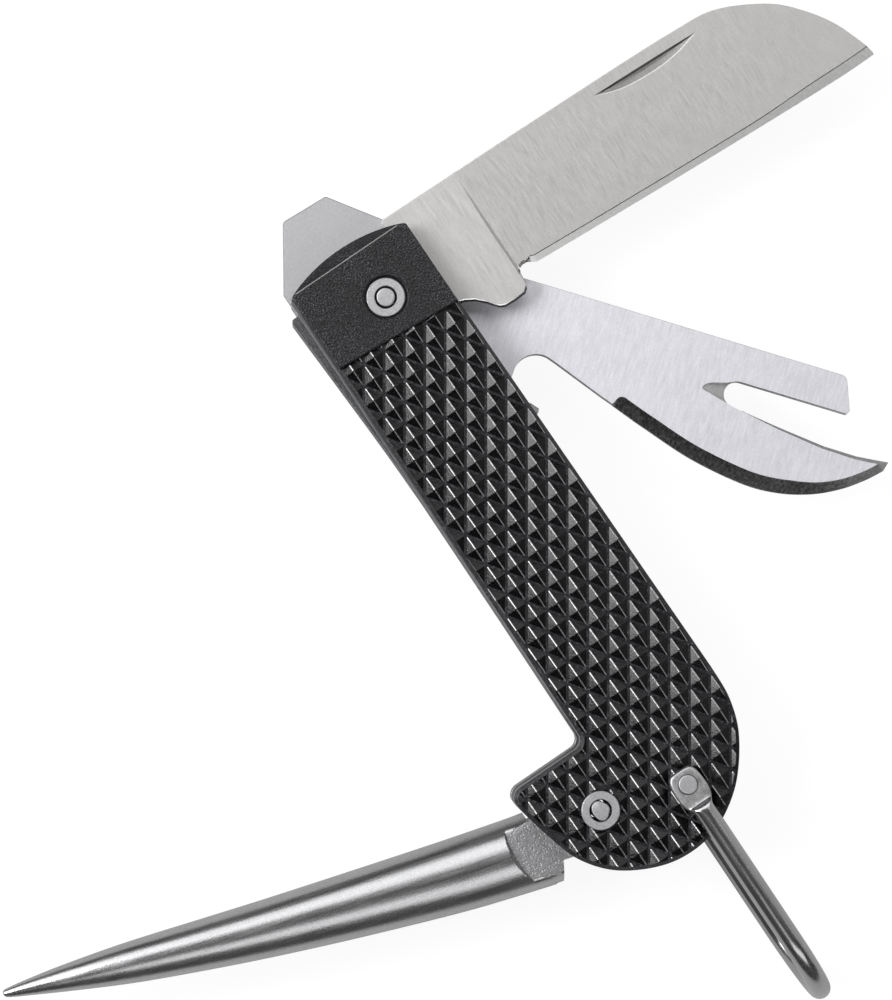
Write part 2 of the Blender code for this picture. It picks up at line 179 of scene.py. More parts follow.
def stacked(name, levels, holes=()):
    """A closed solid through outlines at rising heights, with round holes (centre, radius)."""
    bm = bmesh.new()
    loops = [add_loop(bm, outline, z) for z, outline in levels]
    for lower, upper in zip(loops, loops[1:]):
        bridge(bm, lower, upper)
    low_z = levels[0][0]
    high_z = levels[-1][0]
    low_rings = [add_loop(bm, circle(centre, radius), low_z) for centre, radius in holes]
    high_rings = [add_loop(bm, circle(centre, radius), high_z) for centre, radius in holes]
    for lower, upper in zip(low_rings, high_rings):
        bridge(bm, lower, upper)
    for rim in ([loops[0]] + low_rings, [loops[-1]] + high_rings):
        edges = []
        for loop in rim:
            for a, b in zip(loop, loop[1:] + loop[:1]):
                edges.append(bm.edges.get((a, b)) or bm.edges.new((a, b)))
        bmesh.ops.triangle_fill(bm, edges=edges, use_beauty=True, use_dissolve=False)
    return from_bmesh(bm, name)


def rings_solid(name, rings):
    """A closed solid through rings of points, capped at its ends."""
    bm = bmesh.new()
    loops = [[bm.verts.new(p) for p in ring] for ring in rings]
    for lower, upper in zip(loops, loops[1:]):
        bridge(bm, lower, upper)
    bm.faces.new(loops[0])
    bm.faces.new(loops[-1])
    return from_bmesh(bm, name)


def edge_rounding(outline, z, radius, side, steps):
    """Levels that round the edge of the face at z; side is 1 for an upper face, -1 for a lower."""
    levels = []
    for i in range(steps + 1):
        angle = math.pi / 2 * i / steps
        height = z - side * radius * (1 - math.sin(angle))
        levels.append((height, inset(outline, radius * (1 - math.cos(angle)))))
    return levels


def slab(name, outline, low, high):
    """A plate with rounded edges."""
    bottom = edge_rounding(outline, low, SLAB_ROUND, -1, 3)
    top = edge_rounding(outline, high, SLAB_ROUND, 1, 3)
    return stacked(name, bottom[::-1] + top)


def carve(obj, cutter, operation="DIFFERENCE"):
    """Apply a Boolean with a guide solid and throw the guide away."""
    modifier = obj.modifiers.new("carve", "BOOLEAN")
    modifier.operation = operation
    modifier.solver = "EXACT"
    modifier.object = cutter
    bpy.context.view_layer.update()
    shape = bpy.data.meshes.new_from_object(obj.evaluated_get(bpy.context.evaluated_depsgraph_get()))
    obj.modifiers.clear()
    old = obj.data
    obj.data = shape
    bpy.data.meshes.remove(old)
    bpy.data.objects.remove(cutter, do_unlink=True)


def bore(obj, centre, radius, low, high):
    """Drill a round hole along z."""
    hole = circle(centre, radius)
    carve(obj, stacked("bore", [(low, hole), (high, hole)]))


def tidy_mesh(obj, sharp, weld=WELD):
    """Weld doubled points, drop empty faces and set which edges look sharp."""
    bm = bmesh.new()
    bm.from_mesh(obj.data)
    bmesh.ops.remove_doubles(bm, verts=bm.verts, dist=weld)
    bmesh.ops.dissolve_degenerate(bm, edges=bm.edges, dist=weld)
    bmesh.ops.recalc_face_normals(bm, faces=bm.faces)
    bm.to_mesh(obj.data)
    bm.free()
    obj.data.shade_smooth()
    obj.data.set_sharp_from_angle(angle=math.radians(sharp))


def mirror_z(obj, name):
    """A copy with z turned round, for the other side of the knife."""
    mesh = obj.data.copy()
    mesh.transform(Matrix.Scale(-1, 4, (0, 0, 1)))
    mesh.flip_normals()
    return link(mesh, name)


def finish_piece(obj, body, replaced, materials, at=(0.0, 0.0), turn=0.0, pick=None):
    """Scale the drawing to metres, put the piece in place and tie it to its body.

    pick chooses one of the materials for each face; without it every face has the first.
    """
    obj.data.materials.clear()
    for mat in materials:
        obj.data.materials.append(mat)
    if pick is not None:
        for face in obj.data.polygons:
            face.material_index = materials.index(pick(face))
    obj.data.transform(Matrix.Scale(MM, 4))
    place = Matrix.Translation(ORIGIN + Vector((at[0], at[1], 0.0)) * MM)
    obj.matrix_world = place @ Matrix.Rotation(math.radians(turn), 4, "Z")
    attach(obj, body)
    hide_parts(replaced)

# ---------------------------------------------------------------- grips

# Heights above the middle of the knife's thickness
SCALE_LOW = 4.45
RIM_TOP = 6.82
GROOVE_TOP = 6.83
APEX_TOP = 7.55
BOLSTER_TOP = 7.9
FIELD_LOW = 5.6
# The checkered field: half diagonals of a diamond, where the diamonds are counted from, and how far they run
CELL_X = 2.655
CELL_Y = 1.818
GROOVE_HALF = 0.2
RIDGE_SOFTENING = 0.1
FIELD_START = (64.75, 0.85)
FIELD_ROWS = range(-8, 19)
FIELD_COLUMNS = range(-12, 8)
CROWN = 0.42
CROWN_MIDDLE = -2.0
CROWN_REACH = 11.0
# The line where the smooth raised end steps down to the checkering
STEP_TOP = (6.5, 8.6)
STEP_LOW = (5.0, -11.6)
RIM_INSET = 0.62
FIELD_INSET = 0.6
BOLSTER_ROUND = 0.3
# Radius of each recess for a washer, then its height and widening, level by level
PIVOT_RECESS = 3.18
SPIKE_RECESS = 3.16
RECESS_LEVELS = ((7.05, 0.0), (7.7, 0.0), (7.85, 0.1), (7.95, 0.3), (9.5, 0.3))


def crown_at(y):
    """The grip is a little higher along its middle."""
    return CROWN * (1 - min(1.0, abs(y - CROWN_MIDDLE) / CROWN_REACH) ** 2)


def checkering_cell():
    """One diamond cell: a pyramid with softened ridges inside half the width of its grooves."""
    bm = bmesh.new()
    slant = math.hypot(CELL_X, CELL_Y)
    base_x = CELL_X - GROOVE_HALF * slant / CELL_Y
    base_y = CELL_Y - GROOVE_HALF * slant / CELL_X
    apex = bm.verts.new((0, 0, APEX_TOP))
    corners = [(1, 0), (0, 1), (-1, 0), (0, -1)]
    base = [bm.verts.new((base_x * x, base_y * y, GROOVE_TOP)) for x, y in corners]
    outer = [bm.verts.new((CELL_X * x, CELL_Y * y, GROOVE_TOP)) for x, y in corners]
    for i in range(4):
        j = (i + 1) % 4
        bm.faces.new((apex, base[i], base[j]))
        bm.faces.new((base[i], outer[i], outer[j], base[j]))
    ridges = [bm.edges.get((apex, corner)) for corner in base]
    bmesh.ops.bevel(bm, geom=ridges, offset=RIDGE_SOFTENING, offset_type="OFFSET", segments=2,
                    profile=0.5, affect="EDGES")
    bm.verts.index_update()
    points = [v.co.copy() for v in bm.verts]
    faces = [[v.index for v in f.verts] for f in bm.faces]
    bm.free()
    return points, faces


def checkering(name):
    """A sheet of pyramids with a flat underside, wider than the grip."""
    points, faces = checkering_cell()
    bm = bmesh.new()
    for row in FIELD_ROWS:
        for column in FIELD_COLUMNS:
            x = FIELD_START[0] + 2 * CELL_X * column - (CELL_X if row % 2 else 0.0)
            y = FIELD_START[1] - CELL_Y * row
            if not (-30 < y < 11 and 1 < x < 97):
                continue
            made = [bm.verts.new((x + p.x, y + p.y, p.z)) for p in points]
            for face in faces:
                bm.faces.new([made[i] for i in face])
    bmesh.ops.remove_doubles(bm, verts=bm.verts, dist=0.004)
    top = list(bm.faces)
    extruded = bmesh.ops.extrude_face_region(bm, geom=top)
    raised = {g for g in extruded["geom"] if isinstance(g, bmesh.types.BMVert)}
    for vert in bm.verts:
        if vert in raised:
            vert.co.z += crown_at(vert.co.y)
        else:
            vert.co.z = FIELD_LOW
    return from_bmesh(bm, name)


def make_grip():
    """The front grip: checkered field, raised smooth end, thin rim, recesses for the washers."""
    outline = handle_outline()
    rim = edge_rounding(outline, RIM_TOP - 0.12, 0.2, 1, 3) + [(RIM_TOP, inset(outline, RIM_INSET))]
    grip = stacked("grip_front", [(SCALE_LOW, outline)] + rim)

    field = checkering("field")
    inner = inset(outline, FIELD_INSET)
    region = stacked("region", [(5.0, inner), (9.0, inner)])
    carve(field, region, "INTERSECT")
    carve(grip, field, "UNION")

    back = [(-7.4, -11.66), STEP_LOW, STEP_TOP, (-7.3, 8.66)]
    smooth_end = back + arc_through((-7.61, 8.36), (-9.81, -1.4), (-7.81, -11.31), 40)
    bolster_top = edge_rounding(smooth_end, BOLSTER_TOP, BOLSTER_ROUND, 1, 4)
    carve(grip, stacked("bolster", [(SCALE_LOW + 0.5, smooth_end)] + bolster_top), "UNION")

    slope = [(-7.7, BOLSTER_TOP + 0.02), (-7.9, BOLSTER_TOP - 0.06), (-8.1, BOLSTER_TOP - 0.22),
             (-12.0, BOLSTER_TOP - 4.12), (-12.0, 12.0), (-7.7, 12.0)]
    carve(grip, rings_solid("slope", [[(x, y, z) for x, z in slope] for y in (-20.0, 20.0)]))
    for centre, radius in ((PIVOT_AT, PIVOT_RECESS), (SPIKE_AT[:2], SPIKE_RECESS)):
        levels = [(z, circle(centre, radius + wider)) for z, wider in RECESS_LEVELS]
        carve(grip, stacked("recess", levels))
    for centre, radius in ((PIVOT_AT, PIN_BORE), (SPIKE_AT[:2], PIN_BORE), (SHACKLE_AT[:2], SHACKLE_BORE)):
        bore(grip, centre, radius, 3.0, 9.0)
    tidy_mesh(grip, sharp=10)
    return grip

# ---------------------------------------------------------------- blade

# The blade lies in the front tool layer and the opener in the back one
LAYER_IN = 0.85
LAYER_OUT = 3.35
# The hidden round end of both tools
CAM_R = 9.0
CAM_HIGH = 7.5
CAM_LOW = 7.2
SHOULDER_X = 5.77


def along(points, x):
    """The height of a line of points, in rising x, at one x."""
    if x <= points[0][0]:
        return points[0][1]
    for (x0, y0), (x1, y1) in zip(points, points[1:]):
        if x <= x1:
            return y0 + (y1 - y0) * (x - x0) / max(x1 - x0, 1e-6)
    return points[-1][1]


def ease(t):
    t = min(1.0, max(0.0, t))
    return t * t * (3 - 2 * t)


BLADE_KICK = [(6.8, -6.3), (8.6, -6.3), (9.9, -6.7), (11.3, -7.5), (12.5, -8.7), (13.3, -9.7), (13.9, -10.3),
              (14.6, -10.6), (16.3, -10.65), (18.1, -10.5), (18.7, -10.0), (19.05, -9.2), (19.12, -7.6),
              (19.5, -6.85), (20.2, -6.6), (20.9, -6.65)]
BLADE_EDGE = smooth([(22.2, -7.4), (31.0, -7.75), (47.0, -8.3), (62.0, -8.7), (75.0, -8.95), (81.7, -8.8)], 6)
BLADE_SPINE = [(5.79, 9.8), (6.3, 10.25), (18.8, 10.4), (30.0, 10.5)] + smooth(
    [(48.0, 10.55), (58.0, 10.4), (65.0, 9.75), (72.3, 6.2), (76.4, 2.3), (79.3, -1.9), (81.2, -6.5),
     (81.7, -8.2)], 8)
BLADE_HALF = 1.25
BLADE_MIDDLE = 2.1
BLADE_TIP_X = 81.7
SPINE_CHAMFER = 0.12
# The flat grind: how far it lies below the tang at the spine, its slope, and the plunge line it starts at
GRIND_STEP = 0.1
GRIND_SLOPE = 0.0435
GRIND_SPINE_Y = 10.4
PLUNGE_X = 18.75
PLUNGE_CURVE = 0.0016
PLUNGE_LENGTH = 0.7
# The sharpened edge: widths along the edge and added at the tip, and where each begins and its run
EDGE_GRIND = 1.0
TIP_GRIND = 0.5
BEVEL_START = 20.7
BEVEL_RUN = 1.2
TIP_START = 60.0
TIP_RUN = 14.0
EDGE_STEP = 0.09
EDGE_HALF = 0.03
EDGE_LINE = 0.11


def blade_low(x):
    if x < SHOULDER_X:
        return -min(CAM_LOW, math.sqrt(max(0.0, CAM_R**2 - x * x)))
    return along(BLADE_KICK + BLADE_EDGE, x)


def blade_high(x):
    if x < SHOULDER_X:
        return min(CAM_HIGH, math.sqrt(max(0.0, CAM_R**2 - x * x)))
    return along(BLADE_SPINE, x)


def ground_half(x, y):
    """Half thickness of the flat-ground blade; it drops behind a curved plunge line."""
    flat = BLADE_HALF - GRIND_STEP - GRIND_SLOPE * (GRIND_SPINE_Y - y)
    plunge = PLUNGE_X + PLUNGE_CURVE * (y - 1.0) ** 2
    t = min(1.0, max(0.0, (x - plunge) / PLUNGE_LENGTH))
    return BLADE_HALF + (flat - BLADE_HALF) * (1 - (1 - t) ** 2.2)


def bevel_width(x):
    """The sharpened edge begins at the notch and grows wider round the tip."""
    return EDGE_GRIND * ease((x - BEVEL_START) / BEVEL_RUN) + TIP_GRIND * ease((x - TIP_START) / TIP_RUN)


def blade_half(x, y, low):
    half = ground_half(x, y)
    depth = y - low
    if x > BEVEL_START:
        width = bevel_width(x)
        if depth < width:
            at_line = ground_half(x, low + width) - EDGE_STEP * ease((x - BEVEL_START) / BEVEL_RUN)
            half = EDGE_HALF + (at_line - EDGE_HALF) * depth / max(width, 1e-6)
    return half


def blade_columns():
    """Where the blade's mesh is cut across, closest together round its corners, plunge and tip."""
    columns = [-8.98, -8.9, -8.7, -8.4, -8.0, -7.4, -6.6, -5.6, -4.4, -3.0, -1.5, 0.0, 1.5, 3.0, 4.5, 5.4]
    columns += [5.76, 5.78, 6.0, 6.3, 6.8, 7.6] + [x for x, y in BLADE_KICK if 8.0 < x < 18.2]
    columns += [10.6, 11.9, 12.9, 13.6, 14.2, 15.4, 17.2]
    columns += [18.3 + 0.1 * i for i in range(27)] + [19.05, 19.12]
    columns += [21.0 + 0.25 * i for i in range(8)] + [23.0 + 1.5 * i for i in range(24)]
    columns += [x for x, y in BLADE_SPINE if x > 57.5] + [BEVEL_START + 0.02]
    return sorted(set(round(x, 3) for x in columns if x <= BLADE_TIP_X))


def blade_rows(x):
    """Heights of the points down one column, from the edge up, and how much each is thinned there."""
    low, high = blade_low(x), blade_high(x)
    slope = abs(blade_high(x + 0.05) - blade_high(x - 0.05)) / 0.1 if 6.3 < x < 81.6 else 0.0
    chamfer = min(SPINE_CHAMFER * math.hypot(1.0, slope), 0.3 * (high - low))
    grind = bevel_width(x) if x > BEVEL_START else 0.0
    grind = min(max(grind, 0.5), 0.55 * (high - low))
    inner_low, inner_high = low + grind + EDGE_LINE, high - chamfer
    kicked = x <= BEVEL_START + 1.0
    below = (low + 0.3, low + 0.47) if kicked else (low + grind * 0.5, low + grind - 0.002)
    rows = [low, *below, inner_low]
    rows += [inner_low + (inner_high - inner_low) * i / 14 for i in range(1, 15)]
    rows += [high - chamfer * 0.3, high]
    halves = [blade_half(x, y, low) for y in rows]
    halves[-1] -= SPINE_CHAMFER
    halves[-2] -= 0.035
    if kicked:
        halves[0] = min(halves[0], BLADE_HALF - 0.6)
        halves[1] = min(halves[1], BLADE_HALF - 0.05)
    return [(y, max(half, EDGE_HALF)) for y, half in zip(rows, halves)]


def make_blade():
    """Both sides of the blade as sheets of points, joined along the edge, the spine and the ends."""
    columns = blade_columns()
    bm = bmesh.new()
    sheets = ([], [])
    for x in columns:
        rows = blade_rows(x)
        for sheet, side in zip(sheets, (1, -1)):
            sheet.append([bm.verts.new((x, y, BLADE_MIDDLE + side * half)) for y, half in rows])
    for sheet in sheets:
        for left, right in zip(sheet, sheet[1:]):
            for i in range(len(left) - 1):
                bm.faces.new((left[i], left[i + 1], right[i + 1], right[i]))
    top, bottom = sheets
    for i in range(len(columns) - 1):
        bm.faces.new((top[i][0], top[i + 1][0], bottom[i + 1][0], bottom[i][0]))
        bm.faces.new((top[i][-1], top[i + 1][-1], bottom[i + 1][-1], bottom[i][-1]))
    for end in (0, -1):
        for i in range(len(top[end]) - 1):
            bm.faces.new((top[end][i], top[end][i + 1], bottom[end][i + 1], bottom[end][i]))
    blade = from_bmesh(bm, "blade")
    bore(blade, PIVOT_AT, PIN_BORE, -1.0, 5.0)
    carve(blade, nail_nick())
    tidy_mesh(blade, sharp=11, weld=FINE_WELD)
    return blade


NICK_CHORD = [(42.7, 8.77), (61.1, 8.54)]
NICK_BELLY = smooth([(42.7, 8.72), (44.6, 7.95), (47.2, 7.25), (50.5, 6.93), (54.0, 6.93), (57.2, 7.35),
                     (59.4, 7.95), (61.1, 8.5)], 5)
NICK_TOP = 4.2


def nail_nick():
    """Guide solid of the thumb-nail groove: a steep wall by the spine, a slope towards the edge."""
    rings = []
    for x, belly in NICK_BELLY:
        chord = along(NICK_CHORD, x)
        belly = min(belly, chord - 0.04)
        width = chord - belly
        surface = BLADE_MIDDLE + ground_half(x, belly)
        lip = min(0.16, 0.3 * width)
        wall = min(0.42, 0.4 * width)
        deep = surface - 0.3 * lip - 0.62 * (width - lip - wall)
        rings.append([(x, belly - 0.05, surface + 0.015), (x, belly + lip, surface - 0.3 * lip),
                      (x, chord - wall, deep), (x, chord - 0.8 * wall, deep + 0.02),
                      (x, chord, surface + 0.1), (x, chord, NICK_TOP), (x, belly - 0.05, NICK_TOP)])
    return rings_solid("nick", rings)

# ---------------------------------------------------------------- opener

def tang_outline():
    """The hidden round end of a folding tool, from its shoulder round to its heel."""
    top_angle = 180 - math.degrees(math.asin(CAM_HIGH / CAM_R))
    heel_angle = 180 + math.degrees(math.asin(CAM_LOW / CAM_R))
    cam = arc((0, 0), CAM_R, top_angle, heel_angle, 36)
    return [(SHOULDER_X, CAM_HIGH)] + cam + [(5.2, -CAM_LOW), (6.8, -6.3)]


OPENER_CUTTING = smooth([(37.25, -4.98), (40.0, -5.95), (43.0, -6.95), (50.7, -9.3), (59.0, -10.65),
                         (64.5, -10.5), (69.5, -9.25), (73.6, -7.25), (76.8, -4.9), (79.0, -2.8)], 8)
OPENER_BEVEL = 2.05
OPENER_BEVEL_START = 37.2
OPENER_BEVEL_RUN = 1.5
HOOK_START = 66.0
HOOK_RUN = 13.0


def upper_bevel_line(x, y):
    """Where the ground bevel above a point of the cutting edge ends; it leans back towards the hook's tip."""
    start = min(1.0, max(0.0, (x - OPENER_BEVEL_START) / OPENER_BEVEL_RUN))
    width = OPENER_BEVEL * math.sqrt(1 - (1 - start) ** 2)
    tip = max(0.0, (x - HOOK_START) / HOOK_RUN)
    return x - 1.15 * tip, y + width - 1.35 * tip * start


def opener_outline(ground):
    """Side view of the can opener; ground draws its two sharpened edges in to their bevels' upper lines."""
    kick = [(9.5, -6.4), (11.5, -7.8), (13.5, -9.6), (14.6, -10.3), (18.6, -10.2), (20.2, -9.3), (21.2, -7.4)]
    neck = arc_through((21.4, -4.6), (22.3, -2.0), (25.6, -0.85), 16)
    neck += [(27.0, -1.3), (35.0, -4.2), (37.0, -4.87)]
    if ground:
        cutting = [upper_bevel_line(x, y) for x, y in OPENER_CUTTING]
        hook = [(78.1, -2.05), (76.6, -2.2), (74.0, -2.35), (69.0, -2.2), (61.8, -1.3), (57.0, -0.45)]
    else:
        cutting = OPENER_CUTTING
        hook = [(79.4, -1.3), (77.5, -1.52), (74.5, -1.8), (69.4, -1.75), (62.0, -0.95), (57.0, -0.3)]
    slot = arc((54.5, 1.95), 1.85, 262, 90, 28)
    prong = [(70.3, 3.75), (71.2, 3.75), (71.5, 4.3)] + arc((68.9, 8.2), 1.05, 30, 85, 10)
    top = [(6.3, 9.55), (SHOULDER_X, 9.2)]
    return kick + neck + cutting + hook + slot + prong + top + tang_outline()


def wheel_mark(top):
    """Guide solid of the hollow the cutter left at the slot's closed end, deeper towards the slot."""
    rim = [(49.2, 1.4), (49.35, 1.82), (49.75, 2.2), (50.5, 2.58), (52.4, 3.1), (53.6, 3.6), (55.2, 3.0),
           (56.4, 1.0), (55.9, -0.42), (54.8, -0.14), (52.3, 0.46), (50.4, 0.95), (49.55, 1.12)]
    slope = math.tan(math.radians(15))
    floor = [(x, y, top - 0.32 - slope * (x - 49.2)) for x, y in inset(rim, 0.22)]
    middle = [(x, y, top - 0.12 - 0.6 * slope * (x - 49.2)) for x, y in inset(rim, 0.06)]
    open_side = [[(x, y, z) for x, y in rim] for z in (top, top + 0.6)]
    return rings_solid("wheel_mark", [floor, middle] + open_side)


def make_opener():
    low, high = -LAYER_OUT, -LAYER_IN
    plain, ground = opener_outline(False), opener_outline(True)
    levels = [(low, inset(plain, 0.1)), (low + 0.1, plain), (low + 1.15, plain), (high - 0.05, ground),
              (high, inset(ground, 0.05))]
    opener = stacked("opener", levels)
    bore(opener, PIVOT_AT, PIN_BORE, -5.0, 1.0)
    carve(opener, wheel_mark(high))
    tidy_mesh(opener, sharp=22)
    return opener

# ---------------------------------------------------------------- centre plate

def make_driver_plate():
    """The plate between the tool layers, with a corner at the back and the screwdriver at its end."""
    back = [(-9.3, -12.0), (65.0, -12.7), (69.5, -11.2), (73.0, -9.2), (77.0, -7.7)]
    nose = [(91.9, -7.4), (92.0, -5.0)]
    nose += smooth([(91.7, -4.2), (88.6, 1.3), (82.9, 6.2), (77.4, 8.3), (72.0, 8.7)])
    tab = [(26.9, 8.6), (26.62, 9.5), (26.15, 9.95), (24.75, 9.4), (24.2, 8.6)]
    driver = [(-7.3, 8.5), (-10.4, 6.63)] + arc((-17.45, 1.2), 0.6, 124, 178, 8)
    driver += arc((-17.6, -5.5), 0.8, 185, 240, 8)
    outline = back + nose + tab + driver
    levels = [(-0.75, inset(outline, 0.14)), (-0.66, inset(outline, 0.03)), (-0.6, outline)]
    levels += [(-z, line) for z, line in reversed(levels)]
    holes = [(PIVOT_AT, PIN_BORE), (SHACKLE_AT[:2], SHACKLE_BORE), (SPRING_PIN_AT[:2], SPRING_BORE)]
    plate = stacked("centre_plate", levels, holes)
    tidy_mesh(plate, sharp=30)
    return plate

# ---------------------------------------------------------------- spike

# Distance from the pivot, height of the middle, half width
SPIKE_KNOTS = [(8.0, 2.75, 5.85), (13.5, 2.95, 5.8), (22.0, 2.83, 5.58), (30.0, 2.55, 5.3),
               (41.0, 2.05, 4.85), (52.0, 1.43, 4.33), (62.0, 0.7, 3.8), (73.0, -0.22, 3.08),
               (82.4, -1.05, 2.05), (88.3, -1.52, 1.22), (91.4, -1.72, 0.7), (92.2, -1.82, 0.35)]
# Half thickness of the milled flat, how far from the pivot it reaches, and the fillet along it
SPIKE_FLAT = 3.25
SPIKE_FLAT_R = 14.2
FLAT_FILLET = 0.3
SPIKE_DEPTH = 4.55
SPIKE_SIDES = 128
SPIKE_BLUNT_X = 92.0


def spike_stations():
    """Where the spike's mesh is cut across, closest together where the flat ends and at the tip."""
    stations = [6.0, 7.5, 9.0, 10.0, 11.0, 12.0, 12.8, 13.4, 13.8, 14.05, 14.15, 14.23, 14.31, 14.39, 14.47,
                14.55, 14.63, 14.71, 14.79, 14.9, 15.05, 15.25, 15.6, 16.2, 17.2, 18.4, 20.0]
    stations += [21.5 + 1.5 * i for i in range(40)] + [81.0 + 0.7 * i for i in range(15)]
    return stations + [91.3, 91.6, 91.8, 91.95, 92.05, 92.12]


def spike_ring(x, middle, half):
    """One oval section; near the flat it is cut level and bent into an arc about the pivot."""
    roundness = 0.78 + 0.22 * min(1.0, max(0.0, (x - 20.0) / 60.0))
    depth = min(SPIKE_DEPTH, half * roundness)
    if x > SPIKE_BLUNT_X:
        half *= 0.75
        depth *= 0.75
    bend = ease((22.0 - x) / 7.0) if x > 15.0 else ease((x - 9.0) / 4.4)
    cap = SPIKE_FLAT + 1.7 * max(0.0, (x - SPIKE_FLAT_R) / 0.5) ** 2
    ring = []
    for i in range(SPIKE_SIDES):
        angle = 2 * math.pi * i / SPIKE_SIDES
        y = middle + half * math.cos(angle)
        z = depth * math.sin(angle)
        height = abs(z)
        if height > cap - FLAT_FILLET:
            height = cap - FLAT_FILLET * math.exp(-(height - cap + FLAT_FILLET) / FLAT_FILLET)
        arched = math.sqrt(max(0.0, x * x - y * y)) - x
        ring.append((x + bend * arched, y, math.copysign(height, z)))
    return ring


def make_spike():
    """Oval forged body, milled flat inside the handle with a small fillet where the flat ends."""
    curve = smooth(SPIKE_KNOTS, 12)
    middles = [(x, m) for x, m, w in curve]
    halves = [(x, w) for x, m, w in curve]
    rings = [spike_ring(x, along(middles, x), along(halves, x)) for x in spike_stations()]
    spike = rings_solid("spike", rings)
    end = [(5.0, -9.0), (12.3, -9.0), (10.9, -3.2), (9.2, 3.6), (6.8, 3.8), (7.27, 5.5), (8.02, 8.3),
           (8.4, 9.6), (5.0, 9.6)]
    carve(spike, slab("end", end, -6.0, 6.0))
    shoulder = [(8.0, -2.2), (13.0, -1.2), (13.0, 6.2), (8.3, 7.4), (7.32, 5.7), (7.27, 5.5)]
    core = arc((0, 0), 7.7, 45.6, 300, 60) + shoulder
    carve(spike, slab("tang", core, 0.02 - SPIKE_FLAT, SPIKE_FLAT - 0.02), "UNION")
    bore(spike, PIVOT_AT, PIN_BORE, -8.0, 8.0)
    tidy_mesh(spike, sharp=28)
    return spike

# ---------------------------------------------------------------- shackle

WIRE_R = 1.6
LEG_Z = 9.75
SHACKLE_LENGTH = 38.4
EYE_LOW = 8.3
EYE_HIGH = 10.35
# Distance from the pin, half width, inner side, outer side, squareness of the section
LEG_END = [(-2.3, 1.45, 8.5, 10.15, 5.0), (-2.22, 1.62, 8.36, 10.29, 5.0),
           (-2.05, 1.82, EYE_LOW, EYE_HIGH, 6.0)]
LEG_EYE = [(x, half, EYE_LOW, EYE_HIGH, 7.0) for x, half in
           ((-1.7, 2.1), (-1.2, 2.3), (-0.4, 2.43), (0.4, 2.49), (1.2, 2.5), (2.0, 2.44), (2.7, 2.27))]
LEG_NECK = [(3.05, 2.13, 8.3, 10.36, 6.5), (3.2, 2.06, 8.3, 10.42, 6.0), (3.3, 2.0, 8.29, 10.5, 5.5),
            (3.5, 1.88, 8.27, 10.78, 4.6), (3.7, 1.78, 8.24, 11.02, 3.8), (3.95, 1.68, 8.2, 11.22, 3.0),
            (4.3, 1.61, 8.16, 11.32, 2.4), (4.8, 1.6, 8.15, 11.35, 2.1)]
LEG_WIRE = [(x, WIRE_R, 8.15, 11.35, 2.0) for x in (5.6, 9.0, 14.0, 20.0)]
LEG_SECTIONS = LEG_END + LEG_EYE + LEG_NECK + LEG_WIRE


def make_shackle():
    """Wire bent into a U across the thickness, its ends pressed flat into eyes."""
    bend_x = SHACKLE_LENGTH - WIRE_R - LEG_Z
    sides = 48
    turns = 40
    stations = [(x, 0.0, half, low, high, square) for x, half, low, high, square in LEG_SECTIONS]
    for i in range(turns + 1):
        stations.append((bend_x, math.pi * i / turns, WIRE_R, LEG_Z - WIRE_R, LEG_Z + WIRE_R, 2.0))
    stations += [(x, math.pi, half, low, high, square) for x, half, low, high, square in LEG_SECTIONS[::-1]]
    rings = []
    for x, bend, half, low, high, square in stations:
        centre, reach = (low + high) / 2, (high - low) / 2
        ring = []
        for i in range(sides):
            angle = 2 * math.pi * i / sides
            c, s = math.cos(angle), math.sin(angle)
            out = centre + reach * math.copysign(abs(c) ** (2 / square), c)
            ring.append((x + out * math.sin(bend), half * math.copysign(abs(s) ** (2 / square), s),
                         out * math.cos(bend)))
        rings.append(ring)
    shackle = rings_solid("bail_wire", rings)
    bore(shackle, PIVOT_AT, SHACKLE_BORE, -12.0, 12.0)
    tidy_mesh(shackle, sharp=38)
    return shackle

# ---------------------------------------------------------------- rivets and washers

LATHE_SIDES = 72
PIN_R = 1.37
PIN_HALF = 7.9
SHACKLE_PIN_R = 1.42
SHACKLE_PIN_HALF = 10.6
WASHER_LOW = 7.15
WASHER_HIGH = 7.75
WASHER_HOLE = 1.66
WASHER_R = 2.88


def lathe(name, profile, wobble, seed):
    """A turned piece from a closed profile of (radius, height); wobble makes its rim slightly uneven."""
    rng = random.Random(seed)
    phases = [rng.uniform(0, 2 * math.pi) for _ in range(3)]
    bm = bmesh.new()
    loops = []
    for radius, z in profile:
        loop = []
        for i in range(LATHE_SIDES):
            angle = 2 * math.pi * i / LATHE_SIDES
            uneven = 1 + wobble * sum(math.sin((k + 2) * angle + phases[k]) / (k + 1) for k in range(3))
            reach = radius * uneven
            loop.append(bm.verts.new((reach * math.cos(angle), reach * math.sin(angle), z)))
        loops.append(loop)
    for i, lower in enumerate(loops):
        j = (i + 1) % len(loops)
        on_axis = profile[i][0] == 0 and profile[j][0] == 0
        if not on_axis:
            bridge(bm, lower, loops[j])
    bmesh.ops.remove_doubles(bm, verts=bm.verts, dist=1e-5)
    obj = from_bmesh(bm, name)
    tidy_mesh(obj, sharp=14, weld=FINE_WELD)
    return obj


def pin_profile(radius, half_length):
    """One head's flat top with a small rounding, the shank and the other head."""
    dome = [(0.0, 0.0), (radius - 0.2, -0.01), (radius - 0.09, -0.04), (radius - 0.02, -0.1), (radius, -0.2)]
    upper = [(r, half_length + z) for r, z in dome]
    return upper + [(r, -z) for r, z in reversed(upper)]


def washer_profile(low, high, inner, outer):
    """A flat ring, rounded more on its upper side than on its lower."""
    below = [(inner, low), (outer - 0.1, low), (outer, low + 0.1)]
    rim = [(outer, high - 0.16), (outer - 0.05, high - 0.05), (outer - 0.14, high)]
    return below + rim + [(inner + 0.08, high), (inner + 0.02, high - 0.05), (inner, high - 0.14)]

